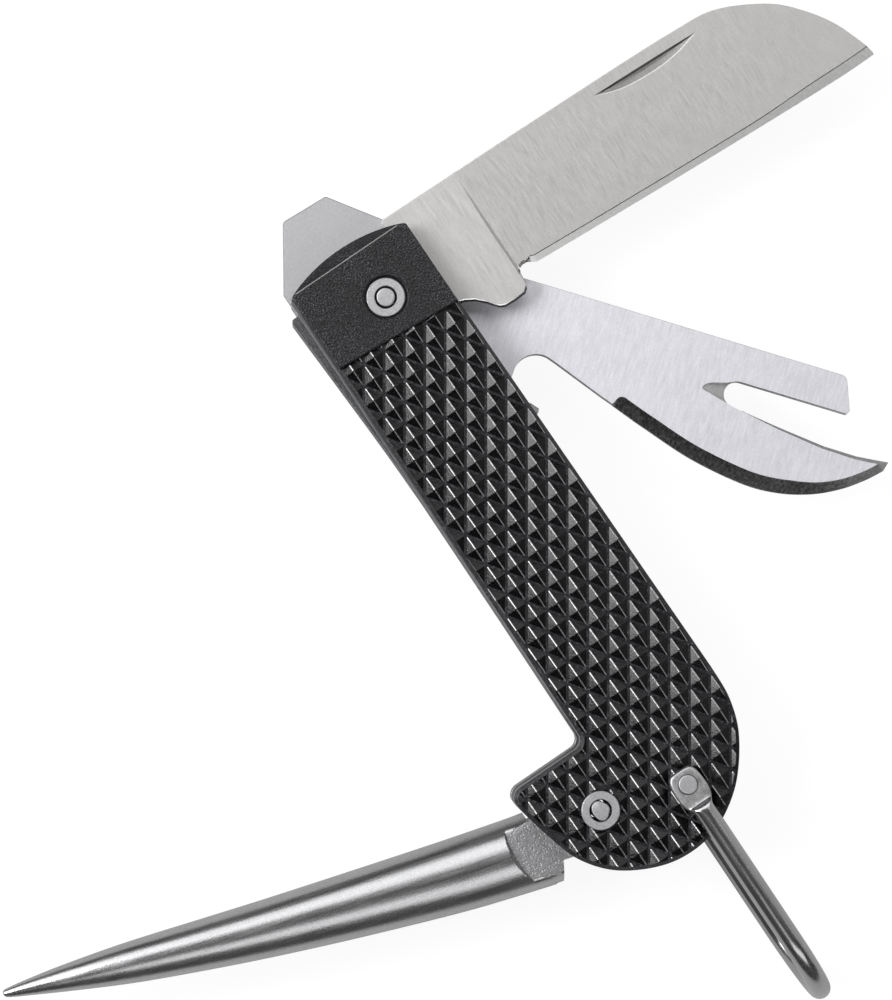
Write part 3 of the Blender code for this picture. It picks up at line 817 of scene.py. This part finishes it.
# ---------------------------------------------------------------- materials

class Nodes:
    """A short way to write a material's node tree."""

    def __init__(self, name):
        self.mat = bpy.data.materials.new(name)
        self.mat.use_nodes = True
        self.tree = self.mat.node_tree
        self.shader = self.tree.nodes["Principled BSDF"]
        self.place = self.add("ShaderNodeTexCoord").outputs["Object"]

    def add(self, kind, **inputs):
        """A node with its inputs by name: an output is linked, anything else is a value."""
        made = self.tree.nodes.new(kind)
        for key, value in inputs.items():
            self.put(made.inputs[key.replace("_", " ")], value)
        return made

    def put(self, socket, value):
        if isinstance(value, bpy.types.NodeSocket):
            self.tree.links.new(value, socket)
        else:
            socket.default_value = value

    def grid(self, per_mm):
        """Object coordinates that count grains, from how many a millimetre holds along x, y and z."""
        scale = [PER_METRE * count for count in per_mm]
        return self.add("ShaderNodeMapping", Vector=self.place, Scale=scale).outputs["Vector"]

    def noise(self, per_mm, detail, roughness):
        made = self.add("ShaderNodeTexNoise", Vector=self.grid(per_mm), Scale=1.0, Detail=detail,
                        Roughness=roughness)
        return made.outputs["Fac"]

    def cells(self, per_mm):
        return self.add("ShaderNodeTexVoronoi", Vector=self.grid(per_mm), Scale=1.0).outputs["Distance"]

    def span(self, value, low, high, to_low, to_high):
        """The value mapped from one range to another, kept inside it."""
        made = self.tree.nodes.new("ShaderNodeMapRange")
        ends = {"From Min": low, "From Max": high, "To Min": to_low, "To Max": to_high}
        for key, number in {"Value": value, **ends}.items():
            self.put(made.inputs[key], number)
        return made.outputs["Result"]

    def maths(self, operation, a, b):
        made = self.tree.nodes.new("ShaderNodeMath")
        made.operation = operation
        self.put(made.inputs[0], a)
        self.put(made.inputs[1], b)
        return made.outputs[0]

    def blend(self, factor, a, b):
        """Colour a where the factor is 0, colour b where it is 1."""
        made = self.tree.nodes.new("ShaderNodeMix")
        made.data_type = "RGBA"
        self.put(made.inputs[0], factor)
        self.put(made.inputs[6], (*a, 1.0) if isinstance(a, tuple) else a)
        self.put(made.inputs[7], (*b, 1.0) if isinstance(b, tuple) else b)
        return made.outputs[2]

    def bump(self, height, depth_mm, onto=None):
        """A normal roughened by a height, laid over another normal where one is given."""
        made = self.add("ShaderNodeBump", Height=height, Distance=depth_mm * MM)
        if onto is not None:
            self.put(made.inputs["Normal"], onto)
        return made.outputs["Normal"]


def scaled(colour, share):
    return tuple(c * share for c in colour)


def steel(name, colour, roughness, grain, grain_depth, cloud=0.05, pits=0.0, pit_size=3.0,
          spread=0.04, speckle=0.0, speckle_size=4.0, worn=0.72):
    """Steel with fine lines along its grain, soft clouds of tone, an even speckle and small pits.

    worn is the share of the colour that is left in the speckle's dots.
    """
    n = Nodes(name)
    lines = n.noise(grain, 2.0, 0.6)
    clouds = n.noise((0.09, 0.12, 0.1), 3.0, 0.55)
    tone = n.span(lines, 0.32, 0.68, 0.0, 1.0)
    base = n.blend(tone, scaled(colour, 1 - cloud * 1.6), scaled(colour, 1 + cloud * 0.6))
    tones = n.blend(n.span(clouds, 0.35, 0.7, 0.0, 0.35), base, scaled(colour, 1 + cloud))
    rough = n.span(lines, 0.3, 0.7, roughness - spread, roughness + spread)
    normal = n.bump(lines, grain_depth)
    if speckle:
        dots = n.noise((speckle_size,) * 3, 3.0, 0.7)
        normal = n.bump(dots, speckle, normal)
        tones = n.blend(n.span(dots, 0.35, 0.65, 0.0, 0.3), tones, scaled(colour, worn))
    if pits:
        spots = n.cells((pit_size,) * 3)
        normal = n.bump(n.span(spots, 0.0, 0.45, 0.0, 1.0), pits, normal)
    n.put(n.shader.inputs["Base Color"], tones)
    n.put(n.shader.inputs["Roughness"], rough)
    n.put(n.shader.inputs["Normal"], normal)
    n.shader.inputs["Metallic"].default_value = 1.0
    return n.mat


def plastic(name, grain_mm, depth, roughness, dark, light, shine=1.5):
    """Moulded black plastic with the mould's own spark-eroded grain; its grain's peaks are painted paler as
    glints, a painted highlight.
    """
    n = Nodes(name)
    grains = n.noise((1 / grain_mm,) * 3, 2.0, 0.6)
    cells = n.cells((0.8 / grain_mm,) * 3)
    patches = n.noise((0.15, 0.15, 0.15), 2.0, 0.5)
    height = n.maths("ADD", n.maths("MULTIPLY", grains, 0.6), n.maths("MULTIPLY", cells, 0.5))
    painted_glints = n.maths("MULTIPLY", n.span(grains, 0.53, 0.68, 0.0, 1.0), n.span(patches, 0.3, 0.65, 0.35, 1.0))
    # Painted highlight: the grain's peaks take the paler glint tone, the rest keeps the plastic's own dark.
    colour = n.blend(painted_glints, (dark, dark, dark * 1.3), (light, light, light * 1.15))
    n.put(n.shader.inputs["Base Color"], colour)
    n.put(n.shader.inputs["Roughness"], n.span(grains, 0.3, 0.7, roughness - 0.05, roughness + 0.12))
    n.put(n.shader.inputs["Normal"], n.bump(height, depth))
    n.shader.inputs["IOR"].default_value = shine
    return n.mat


# For each plastic the paler of its two colours is the painted glint tone on the grain's peaks.
MOULDED = plastic("moulded_grip", 0.22, 0.085, 0.31, 0.003, 0.125)
CHECKERED = plastic("checkered_grip", 0.2, 0.028, 0.17, 0.001, 0.016, 1.43)
# Painted highlight: a paler, shinier copy of the checkering for the ridges that face the light and for the
# end's slope line.
RIDGE_PAINTED_HIGHLIGHT = plastic("ridge_painted_highlight", 0.2, 0.02, 0.17, 0.012, 0.09, 2.7)
GROOVE = plastic("cut_groove", 0.35, 0.03, 0.35, 0.008, 0.08)
BLADE_STEEL = steel("satin_blade", (0.75, 0.74, 0.73), 0.50, (5.5, 0.35, 5.5), 0.003, cloud=0.045,
                    spread=0.05, speckle=0.004)
OPENER_STEEL = steel("satin_opener", (0.95, 0.95, 1.0), 0.55, (4.0, 0.4, 4.0), 0.004, cloud=0.06, spread=0.04,
                     speckle=0.004)
PLATE_STEEL = steel("matte_plate", (0.61, 0.61, 0.63), 0.5, (2.5, 2.5, 2.5), 0.012, cloud=0.05, speckle=0.02)
# Painted highlight: a brighter copy of the steel for the honed edge and the hollow at the opener's slot.
EDGE_PAINTED_HIGHLIGHT = steel("honed_edge_painted_highlight", (0.97, 0.97, 0.96), 0.45, (6.0, 0.5, 6.0), 0.003, cloud=0.04, spread=0.05,
                   speckle=0.003)
# Painted shade: a darker copy of the opener's steel on its ground bevels and side walls.
BEVEL_PAINTED_SHADE = steel("ground_bevel_painted_shade", (0.46, 0.46, 0.46), 0.28, (3.0, 0.3, 3.0), 0.003, cloud=0.2, spread=0.08)
# Painted shade: a near-black copy of the steel for walls and lines where shade falls.
SHADE_PAINTED_STEEL = steel("painted_shade_wall", (0.09, 0.09, 0.09), 0.35, (5.0, 0.6, 5.0), 0.004, cloud=0.1)
# Painted highlight: a brighter copy of the steel on the kick's chamfer.
CHAMFER_PAINTED_HIGHLIGHT = steel("chamfer_painted_highlight", (0.96, 0.96, 0.95), 0.24, (5.0, 0.6, 5.0), 0.002, cloud=0.03)
LINER_STEEL = steel("rolled_liner", (0.3, 0.3, 0.31), 0.42, (0.4, 4.0, 4.0), 0.006)
SPRING_STEEL = steel("pressed_spring", (0.21, 0.21, 0.22), 0.42, (2.2, 2.2, 4.0), 0.010, cloud=0.15,
                     pits=0.02, pit_size=2.4, speckle=0.02, speckle_size=2.5, worn=0.0)
SPIKE_STEEL = steel("forged_spike", (0.59, 0.59, 0.6), 0.27, (0.12, 2.2, 2.2), 0.004, cloud=0.05, spread=0.04,
                    speckle=0.010, speckle_size=3.2, worn=0.5)
CAST_STEEL = steel("cast_shoulder", (0.46, 0.46, 0.47), 0.5, (1.6, 1.6, 1.6), 0.02, cloud=0.08, pits=0.05,
                   pit_size=2.6, speckle=0.02, speckle_size=2.4, worn=0.2)
WIRE_STEEL = steel("drawn_wire", (0.52, 0.52, 0.53), 0.23, (0.12, 3.0, 3.0), 0.004, cloud=0.06, spread=0.05,
                   speckle=0.004)
EYE_STEEL = steel("pressed_eye", (0.62, 0.62, 0.63), 0.42, (1.2, 2.5, 2.5), 0.02, cloud=0.14, pits=0.02,
                  speckle=0.028, speckle_size=3.0, worn=0.15)
RIVET_STEEL = steel("peened_rivet", (0.64, 0.64, 0.66), 0.52, (2.5, 2.5, 2.5), 0.010, cloud=0.06, pits=0.012,
                    pit_size=2.6, speckle=0.014, speckle_size=3.5, worn=0.35)

# ---------------------------------------------------------------- pieces

STEP_WAY = Vector(STEP_TOP) - Vector(STEP_LOW)
EYE_END = 3.25
# Where the smooth end starts to slope down, marked with a painted highlight line.
SLOPE_LINE = (-7.92, -7.74)
CAD_EDGE_ROUND = 0.08


def grip_zone(face):
    """Moulded grain on the smooth end, with one line painted bright as a highlight where it starts to slope
    down.

    On the field the grooves and the rim are cut, the pyramids' ridges that face the light get a painted
    highlight, and the rest is checkering.
    """
    centre = face.center
    height = abs(centre.z)
    tilt = math.degrees(math.acos(min(1.0, abs(face.normal.z))))
    # Painted highlight on the rounding where the smooth end starts to slope down.
    if SLOPE_LINE[0] < centre.x < SLOPE_LINE[1] and BOLSTER_TOP - 0.07 < height < BOLSTER_TOP - 0.005:
        return RIDGE_PAINTED_HIGHLIGHT
    if centre.x - STEP_LOW[0] - (centre.y - STEP_LOW[1]) * STEP_WAY.x / STEP_WAY.y < 0.02:
        return MOULDED
    if tilt < 8 and height > RIM_TOP + 0.003:
        return GROOVE
    if tilt < 50 and RIM_TOP - 0.2 < height < RIM_TOP + 0.003:
        return GROOVE
    ridge = face.area < 0.45 and 10 < tilt < 27.5 and height > GROOVE_TOP + 0.05
    # Only the ridges running along x, which face the light, get the painted highlight.
    return RIDGE_PAINTED_HIGHLIGHT if ridge and abs(face.normal.x) > abs(face.normal.y) else CHECKERED


def edge_zone(face):
    """The honed edge painted bright as a highlight; painted shade on a line above it, on the nail nick's wall
    and on the kick's steep outer facet; and a painted highlight on the kick's chamfer.
    """
    centre = face.center
    # Painted shade on the nail nick's steep wall.
    if 42 < centre.x < 62 and centre.y > 6 and face.normal.y < -0.3:
        return SHADE_PAINTED_STEEL
    # The kick's chamfer: painted highlight on its top facet, painted shade on its steep outer facet.
    if 6.8 < centre.x < BEVEL_START and centre.y < blade_low(centre.x) + 0.5 and face.normal.z > 0.3:
        return CHAMFER_PAINTED_HIGHLIGHT if face.normal.z > 0.75 else SHADE_PAINTED_STEEL
    above = centre.y - blade_low(centre.x) - bevel_width(centre.x)
    if centre.x < BEVEL_START or above > EDGE_LINE:
        return BLADE_STEEL
    # Painted shade on a thin line above the honed edge, painted highlight on the edge itself.
    return SHADE_PAINTED_STEEL if above > 0 else EDGE_PAINTED_HIGHLIGHT


def bevel_zone(face):
    """The opener's ground bevels and side walls, painted darker as shade, and the hollow at its slot, painted
    bright as a highlight.
    """
    centre, up = face.center, face.normal.z
    if centre.x < 20.0:
        return OPENER_STEEL
    sunk = centre.z < -LAYER_IN - 0.06
    # Painted highlight on the sloped walls of the hollow at the slot's end.
    if 48.0 < centre.x < 56.5 and centre.y > -0.5 and 0.02 < up < 0.985 and sunk:
        return EDGE_PAINTED_HIGHLIGHT
    # Painted shade on the ground bevels and on the near-upright side walls.
    if centre.x > 36.0 and 0.15 < up < 0.985 and face.area > 0.06:
        return BEVEL_PAINTED_SHADE
    return BEVEL_PAINTED_SHADE if abs(up) < 0.1 else OPENER_STEEL


def spike_zone(face):
    """Rough cast metal on the milled flat, forged steel on the rest."""
    flat = abs(face.normal.z) > 0.97 and face.center.xy.length < SPIKE_FLAT_R
    return CAST_STEEL if flat else SPIKE_STEEL


def shackle_zone(face):
    """Hammered metal on the pressed eyes, drawn wire beyond them."""
    return EYE_STEEL if face.center.x < EYE_END else WIRE_STEEL


def dress_cad_node(node, mat):
    """Give a CAD node that stays its material and softened corners."""
    obj = nodes[node]
    obj.data.materials.clear()
    obj.data.materials.append(mat)
    weld = obj.modifiers.new("weld", "WELD")
    weld.merge_threshold = WELD * MM
    rounded = obj.modifiers.new("rounded", "BEVEL")
    rounded.width = CAD_EDGE_ROUND * MM
    rounded.segments = 2
    rounded.limit_method = "ANGLE"
    rounded.angle_limit = math.radians(40)


grip = make_grip()
grip_back = mirror_z(grip, "grip_back")
for piece, node in ((grip, "front_scale"), (grip_back, "back_scale")):
    finish_piece(piece, "handle", node, (MOULDED, CHECKERED, RIDGE_PAINTED_HIGHLIGHT, GROOVE), pick=grip_zone)
finish_piece(make_blade(), "blade", "main_blade",
             (BLADE_STEEL, EDGE_PAINTED_HIGHLIGHT, SHADE_PAINTED_STEEL, CHAMFER_PAINTED_HIGHLIGHT), turn=BLADE_OPEN, pick=edge_zone)
finish_piece(make_opener(), "opener", "can_opener",
             (OPENER_STEEL, BEVEL_PAINTED_SHADE, EDGE_PAINTED_HIGHLIGHT), turn=OPENER_OPEN, pick=bevel_zone)
finish_piece(make_driver_plate(), "handle", "driver_plate", (PLATE_STEEL,))
finish_piece(make_spike(), "spike", "marlin_spike", (SPIKE_STEEL, CAST_STEEL), SPIKE_AT,
             SPIKE_OPEN, spike_zone)
finish_piece(make_shackle(), "bail", "shackle", (WIRE_STEEL, EYE_STEEL), SHACKLE_AT,
             SHACKLE_OPEN, shackle_zone)

for label, at, wobble in (("pivot", PIVOT_AT, 0.012), ("spike", SPIKE_AT, 0.09)):
    rivet = lathe(label + "_rivet", pin_profile(PIN_R, PIN_HALF), wobble, seed=3)
    finish_piece(rivet, "handle", label + "_pin", (RIVET_STEEL,), at)
    for side in ("front", "back"):
        profile = washer_profile(WASHER_LOW, WASHER_HIGH, WASHER_HOLE, WASHER_R)
        washer = lathe(f"{label}_ring_{side}", profile, wobble=0.006, seed=5)
        if side == "back":
            washer.data.transform(Matrix.Rotation(math.pi, 4, "X"))
        finish_piece(washer, "handle", f"{label}_washer_{side}", (RIVET_STEEL,), at)
profile = pin_profile(SHACKLE_PIN_R, SHACKLE_PIN_HALF)
shackle_rivet = lathe("shackle_rivet", profile, wobble=0.015, seed=8)
finish_piece(shackle_rivet, "handle", "shackle_pin", (RIVET_STEEL,), SHACKLE_AT)

for node in ("front_liner", "back_liner"):
    dress_cad_node(node, LINER_STEEL)
for node in ("blade_spring", "opener_spring"):
    dress_cad_node(node, SPRING_STEEL)
dress_cad_node("spring_pin", RIVET_STEEL)

# ---------------------------------------------------------------- camera and light

CAMERA_TARGET = Vector((29.578, -9.206, 0.0))
CAMERA_DISTANCE = 550.0
HANDLE_ANGLE = math.radians(55.6)
TILT = Vector((0.03, 0.04, 1.0)).normalized()
LENS_MM = 132.66
SENSOR_MM = 36.0
LAMP_DISTANCE = 1.0


def camera_axes():
    """Right, up and back of the camera, in the drawing frame."""
    across = math.cos(HANDLE_ANGLE)
    down = -math.sin(HANDLE_ANGLE)
    rightward = Vector((across, down, -(TILT.x * across + TILT.y * down) / TILT.z)).normalized()
    upward = TILT.cross(rightward)
    return [Vector((rightward[i], upward[i], TILT[i])) for i in range(3)]


AXES = camera_axes()


def add_camera():
    right, up, back = AXES
    camera = bpy.data.objects.new("camera", bpy.data.cameras.new("camera"))
    camera.data.lens = LENS_MM
    camera.data.sensor_width = SENSOR_MM
    camera.data.clip_start = 0.01
    camera.data.clip_end = 20.0
    place = Matrix((right, up, back)).transposed().to_4x4()
    place.translation = ORIGIN + (CAMERA_TARGET + back * CAMERA_DISTANCE) * MM
    camera.matrix_world = place
    bpy.context.scene.collection.objects.link(camera)
    bpy.context.scene.camera = camera


def add_softbox(name, direction, size, power):
    """A soft lamp that looks at the knife; its direction is given as right, up and back of the main view."""
    data = bpy.data.lights.new(name, "AREA")
    data.shape = "RECTANGLE"
    data.size, data.size_y = size
    data.energy = power
    lamp = bpy.data.objects.new(name, data)
    right, up, back = AXES
    away = (right * direction[0] + up * direction[1] + back * direction[2]).normalized()
    across = up.cross(away) if abs(direction[0]) < abs(direction[1]) else right.cross(away).cross(away)
    across = across.normalized()
    lamp.matrix_world = Matrix((across, away.cross(across), away)).transposed().to_4x4()
    lamp.matrix_world.translation = ORIGIN + CAMERA_TARGET * MM + away * LAMP_DISTANCE
    lamp.visible_camera = False
    bpy.context.scene.collection.objects.link(lamp)


def split_by_ray(tree, mirrored, seen, surface):
    """One shader is what the camera sees directly, the other what the knife mirrors."""
    rays = tree.nodes.new("ShaderNodeLightPath")
    mix = tree.nodes.new("ShaderNodeMixShader")
    tree.links.new(rays.outputs["Is Camera Ray"], mix.inputs[0])
    tree.links.new(mirrored.outputs[0], mix.inputs[1])
    tree.links.new(seen.outputs[0], mix.inputs[2])
    tree.links.new(mix.outputs[0], surface)


def set_studio(shade_strength):
    """A dim room for the knife to reflect, which looks plain white to the camera."""
    world = bpy.data.worlds.new("studio")
    world.use_nodes = True
    tree = world.node_tree
    room = tree.nodes["Background"]
    room.inputs["Color"].default_value = (1.0, 1.0, 1.0, 1.0)
    room.inputs["Strength"].default_value = shade_strength
    white = tree.nodes.new("ShaderNodeBackground")
    white.inputs["Color"].default_value = (1.0, 1.0, 1.0, 1.0)
    split_by_ray(tree, room, white, tree.nodes["World Output"].inputs["Surface"])
    bpy.context.scene.world = world


def add_floor(size, colour, glow):
    """A pale floor; each pair is what the camera sees, then what the knife mirrors."""
    mesh = bpy.data.meshes.new("floor")
    corners = [(-size, -size, 0), (size, -size, 0), (size, size, 0), (-size, size, 0)]
    mesh.from_pydata(corners, [], [(0, 1, 2, 3)])
    floor = link(mesh, "floor")
    mat = bpy.data.materials.new("pale_floor")
    mat.use_nodes = True
    tree = mat.node_tree
    seen = tree.nodes["Principled BSDF"]
    mirrored = tree.nodes.new("ShaderNodeBsdfPrincipled")
    for shader, tone, light in ((seen, colour[0], glow[0]), (mirrored, colour[1], glow[1])):
        shader.inputs["Base Color"].default_value = (tone, tone, tone, 1.0)
        shader.inputs["Roughness"].default_value = 0.9
        shader.inputs["Specular IOR Level"].default_value = 0.2
        shader.inputs["Emission Color"].default_value = (1.0, 1.0, 1.0, 1.0)
        shader.inputs["Emission Strength"].default_value = light
    split_by_ray(tree, mirrored, seen, tree.nodes["Material Output"].inputs["Surface"])
    mesh.materials.append(mat)


add_camera()
bpy.context.scene.view_settings.view_transform = "Standard"
set_studio(shade_strength=0.07)
add_softbox("overhead", (0.0, 0.6, 0.8), size=(1.7, 0.6), power=5.2)
add_softbox("side", (-0.66, 0.12, 0.74), size=(0.5, 0.5), power=6.6)
add_softbox("lower", (0.25, -0.5, 0.83), size=(0.9, 0.4), power=1.5)
add_softbox("right", (0.93, 0.3, 0.22), size=(1.1, 0.7), power=1.0)
add_floor(size=3.0, colour=(0.15, 0.5), glow=(0.91, 0.12))
